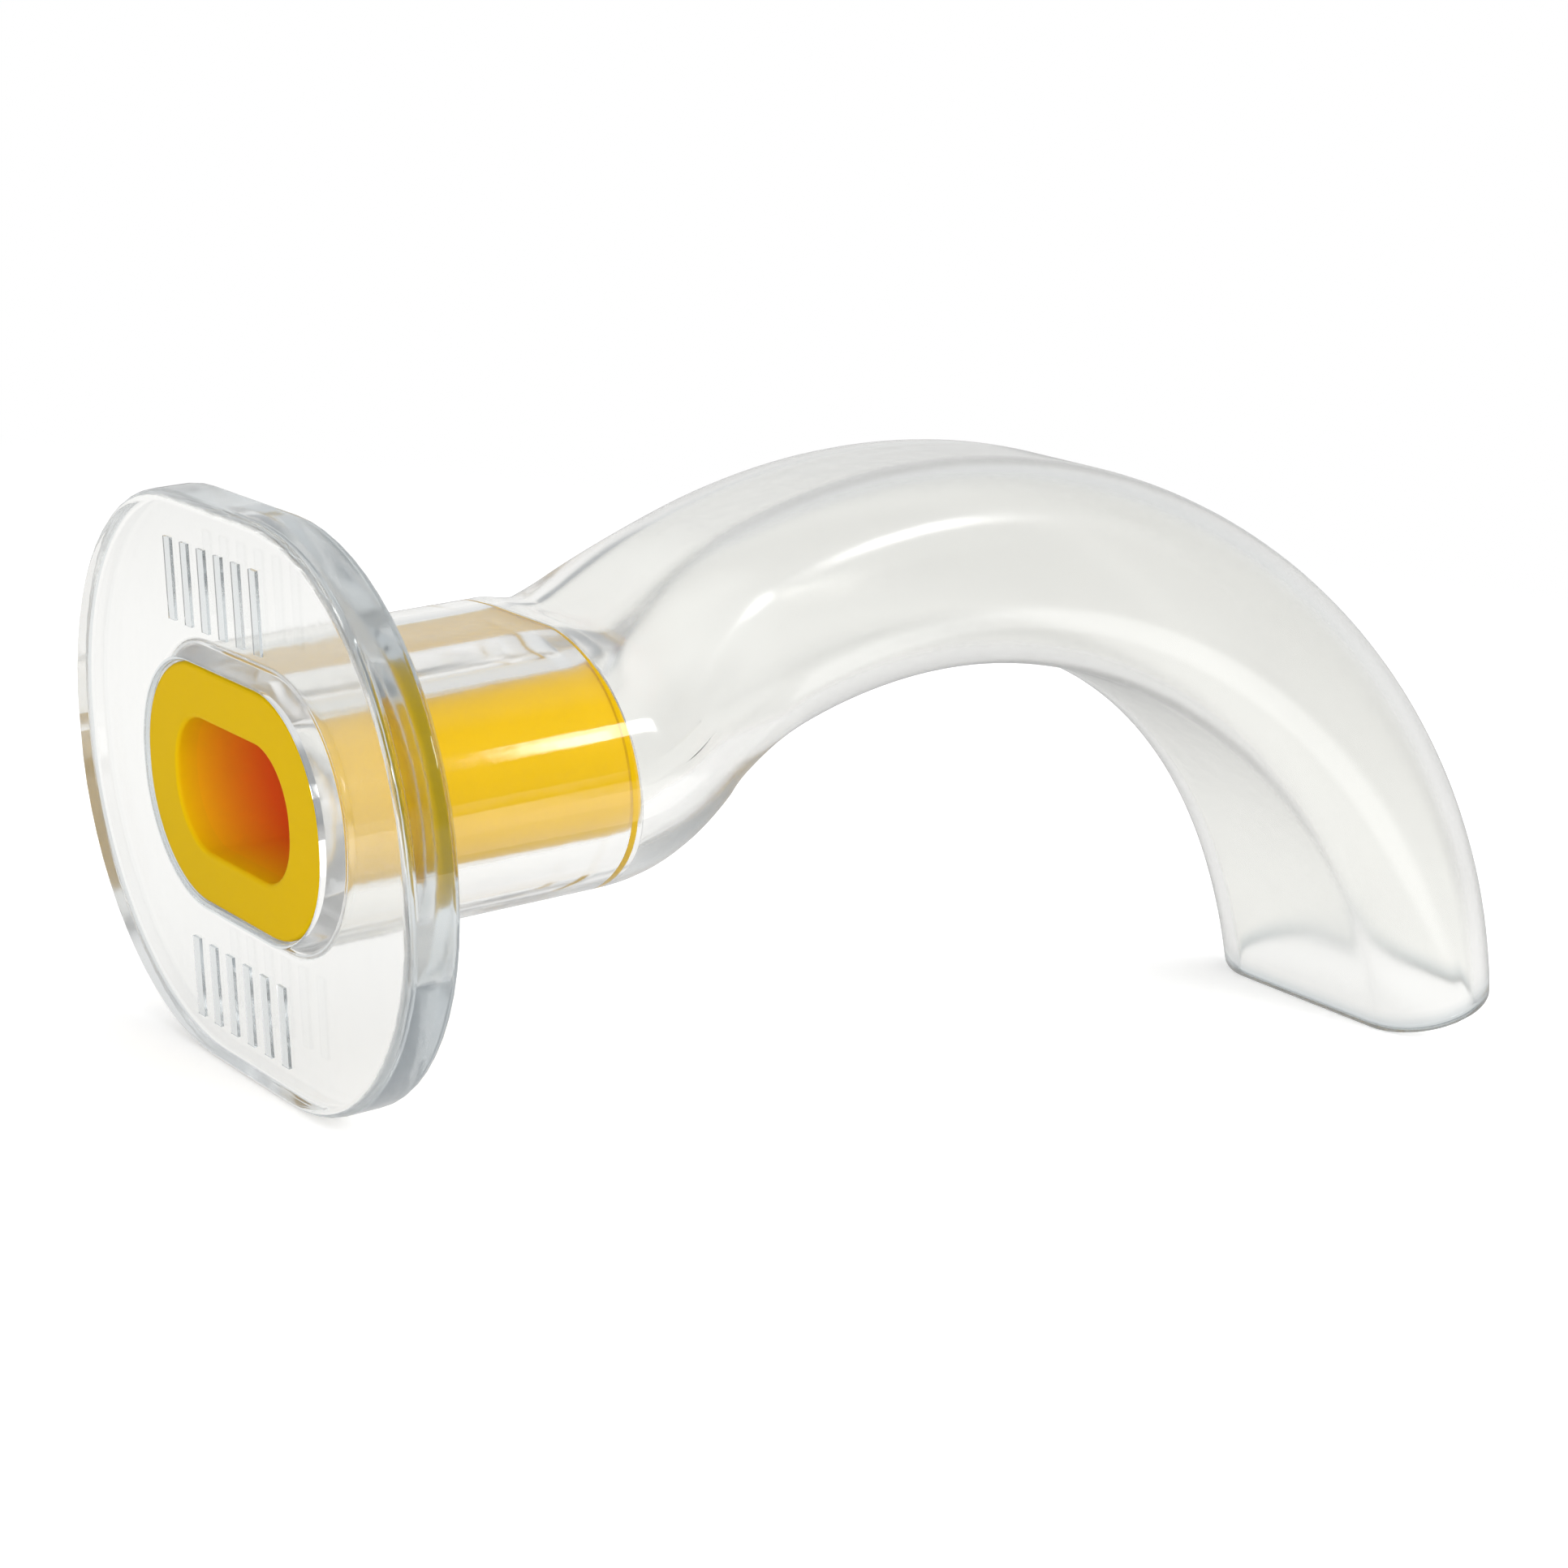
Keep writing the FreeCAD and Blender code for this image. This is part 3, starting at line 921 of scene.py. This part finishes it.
def floor_material():
    """Pale floor that keeps the object's shadow and runs out into the white of the world.

    Clear plastic and shiny faces see a table with a bright strip beside the bite section, and a darker
    room past the table's edge.
    """
    material, plan, where = material_plan("pale_floor")
    reach = plan.node("ShaderNodeVectorMath", {"operation": "LENGTH"}, [where], "Value")
    along = plan.node("ShaderNodeSeparateXYZ", None, [where], "X")
    in_front = -plan.node("ShaderNodeSeparateXYZ", None, [where], "Y")
    camera, transmission, glossy, lighting = ray_kinds(plan)
    diffuse = plan.node("ShaderNodeBsdfDiffuse", None, {"Color": grey(0.8)})

    def glow(strength):
        return plan.node("ShaderNodeEmission", None, {"Color": grey(1.0), "Strength": strength})

    def lifted(strength):
        """Plain floor that takes the shadow, lifted by a glow."""
        return plan.node("ShaderNodeAddShader", None, [diffuse, glow(strength)])

    def over(factor, first, second):
        return plan.node("ShaderNodeMixShader", None, [factor, first, second])

    far = smooth(plan, reach, 100 * MM, 300 * MM)
    past_table = smooth(plan, in_front, 85 * MM, 105 * MM)
    beside_bite = smooth(plan, along, 80 * MM, 50 * MM)
    bright_strip = in_front.math("GREATER_THAN", 30 * MM) * beside_bite
    under_tube = (along / (20 * MM)).clamp() * (1.0 - bright_strip)
    lit = over(far, lifted(0.42), glow(1.0))
    table = over(bright_strip, glow(0.91), glow(1.7))
    through = over(0.75, over(far, lifted(0.34), glow(0.93)), table)
    through = over(past_table, through, glow(0.4))
    mirrored = over(bright_strip, glow(0.7), glow(2.2))
    mirrored = over(under_tube, mirrored, glow(0.5))
    mirrored = over(past_table, mirrored, glow(0.04))
    shown = over(glossy, diffuse, mirrored)
    shown = over(transmission, shown, through)
    shown = over(lighting, shown, diffuse)
    finished(plan, over(camera, shown, lit))
    return material


def studio_world(backdrop):
    """White to the camera, plain light on every surface, and a darker room that only the plastic shows."""
    world = bpy.data.worlds.new("studio")
    world.use_nodes = True
    world.node_tree.nodes.clear()
    plan = Plan(world.node_tree)
    where = plan.node("ShaderNodeTexCoord", None, (), "Generated")
    camera, transmission, glossy, lighting = ray_kinds(plan)

    def towards(direction, low, high):
        """0 to 1 as a ray turns to a direction, between two cosines."""
        pair = [where, tuple(direction)]
        facing = plan.node("ShaderNodeVectorMath", {"operation": "DOT_PRODUCT"}, pair, "Value")
        return smooth(plan, facing, low, high)

    sky = blend(plan, towards(UP, 0.0, 0.5), grey(0.95), grey(0.80, 0.02))
    walled = blend(plan, towards(WALL, 0.35, 0.8), sky, grey(0.42, 0.05))
    through = blend(plan, towards(CARD, 0.6, 0.82), walled, grey(0.3, 0.05))
    mirrored = blend(plan, towards(backdrop, -0.3, 0.5), grey(0.05), grey(0.75))
    light = blend(plan, towards(KEY, -0.3, 1.0), grey(0.32), grey(2.9))
    seen = blend(plan, glossy, light, mirrored)
    seen = blend(plan, transmission, seen, through)
    seen = blend(plan, lighting, seen, light)
    seen = blend(plan, camera, seen, grey(1.0))
    background = plan.node("ShaderNodeBackground", None, {"Color": seen, "Strength": 1.0})
    plan.node("ShaderNodeOutputWorld", None, {"Surface": background})
    return world


class AIRWAY_OT_stage(Operator):
    """Make the camera, the lights, the world and the floor"""

    bl_idname = "airway.stage"
    bl_label = "Studio"

    def execute(self, context):
        scene = context.scene
        stage = scene.airway_stage
        pose = Pose()
        data = bpy.data.cameras.new("camera")
        data.sensor_width = SENSOR_WIDTH
        data.lens = stage.focal_pixels / PHOTO_PIXELS * SENSOR_WIDTH
        data.clip_start = 0.01
        data.clip_end = 20.0
        camera = bpy.data.objects.new("camera", data)
        camera.matrix_world = camera_place(stage, pose)
        scene.collection.objects.link(camera)
        scene.camera = camera

        middle = (cad_box[0] + cad_box[1]) / 2
        lamp_size = (stage.lamp_width, stage.lamp_height)
        area_light("key_softbox", middle + LAMP * stage.lamp_distance, middle, lamp_size, stage.lamp_power)

        half = FLOOR_HALF
        corners = [(-half, -half, 0), (half, -half, 0), (half, half, 0), (-half, half, 0)]
        floor_mesh = bpy.data.meshes.new("floor")
        floor_mesh.from_pydata(corners, [], [(0, 1, 2, 3)])
        floor_mesh.materials.append(floor_material())
        floor = bpy.data.objects.new("floor", floor_mesh)
        scene.collection.objects.link(floor)

        back = camera.matrix_world.to_3x3() @ Vector((0, 0, 1))
        scene.world = studio_world(-back)
        scene.cycles.max_bounces = 40
        scene.cycles.glossy_bounces = 32
        scene.cycles.transmission_bounces = 32
        scene.view_settings.view_transform = "Standard"
        return {"FINISHED"}


class AIRWAY_PT_panel(Panel):
    """Lists the airway's pieces in the sidebar"""

    bl_label = "Airway"
    bl_idname = "AIRWAY_PT_panel"
    bl_space_type = "VIEW_3D"
    bl_region_type = "UI"
    bl_category = "Airway"

    def draw(self, context):
        for operator in OPERATORS:
            self.layout.operator(operator.bl_idname)


GROUPS = {
    "airway_body": AirwayBodySizes,
    "airway_block": AirwayBlockSizes,
    "airway_net": AirwayMeshSizes,
    "airway_marks": AirwayMarkSizes,
    "airway_finish": AirwayFinish,
    "airway_stage": AirwayStage,
}
OPERATORS = (AIRWAY_OT_body, AIRWAY_OT_block, AIRWAY_OT_stage)


def register():
    for name, group in GROUPS.items():
        bpy.utils.register_class(group)
        setattr(bpy.types.Scene, name, PointerProperty(type=group))
    for operator in OPERATORS:
        bpy.utils.register_class(operator)
    bpy.utils.register_class(AIRWAY_PT_panel)


def unregister():
    bpy.utils.unregister_class(AIRWAY_PT_panel)
    for operator in reversed(OPERATORS):
        bpy.utils.unregister_class(operator)
    for name, group in reversed(GROUPS.items()):
        delattr(bpy.types.Scene, name)
        bpy.utils.unregister_class(group)


def main():
    register()
    bpy.ops.airway.body()
    bpy.ops.airway.block()
    bpy.ops.airway.stage()


if __name__ == "__main__":
    main()
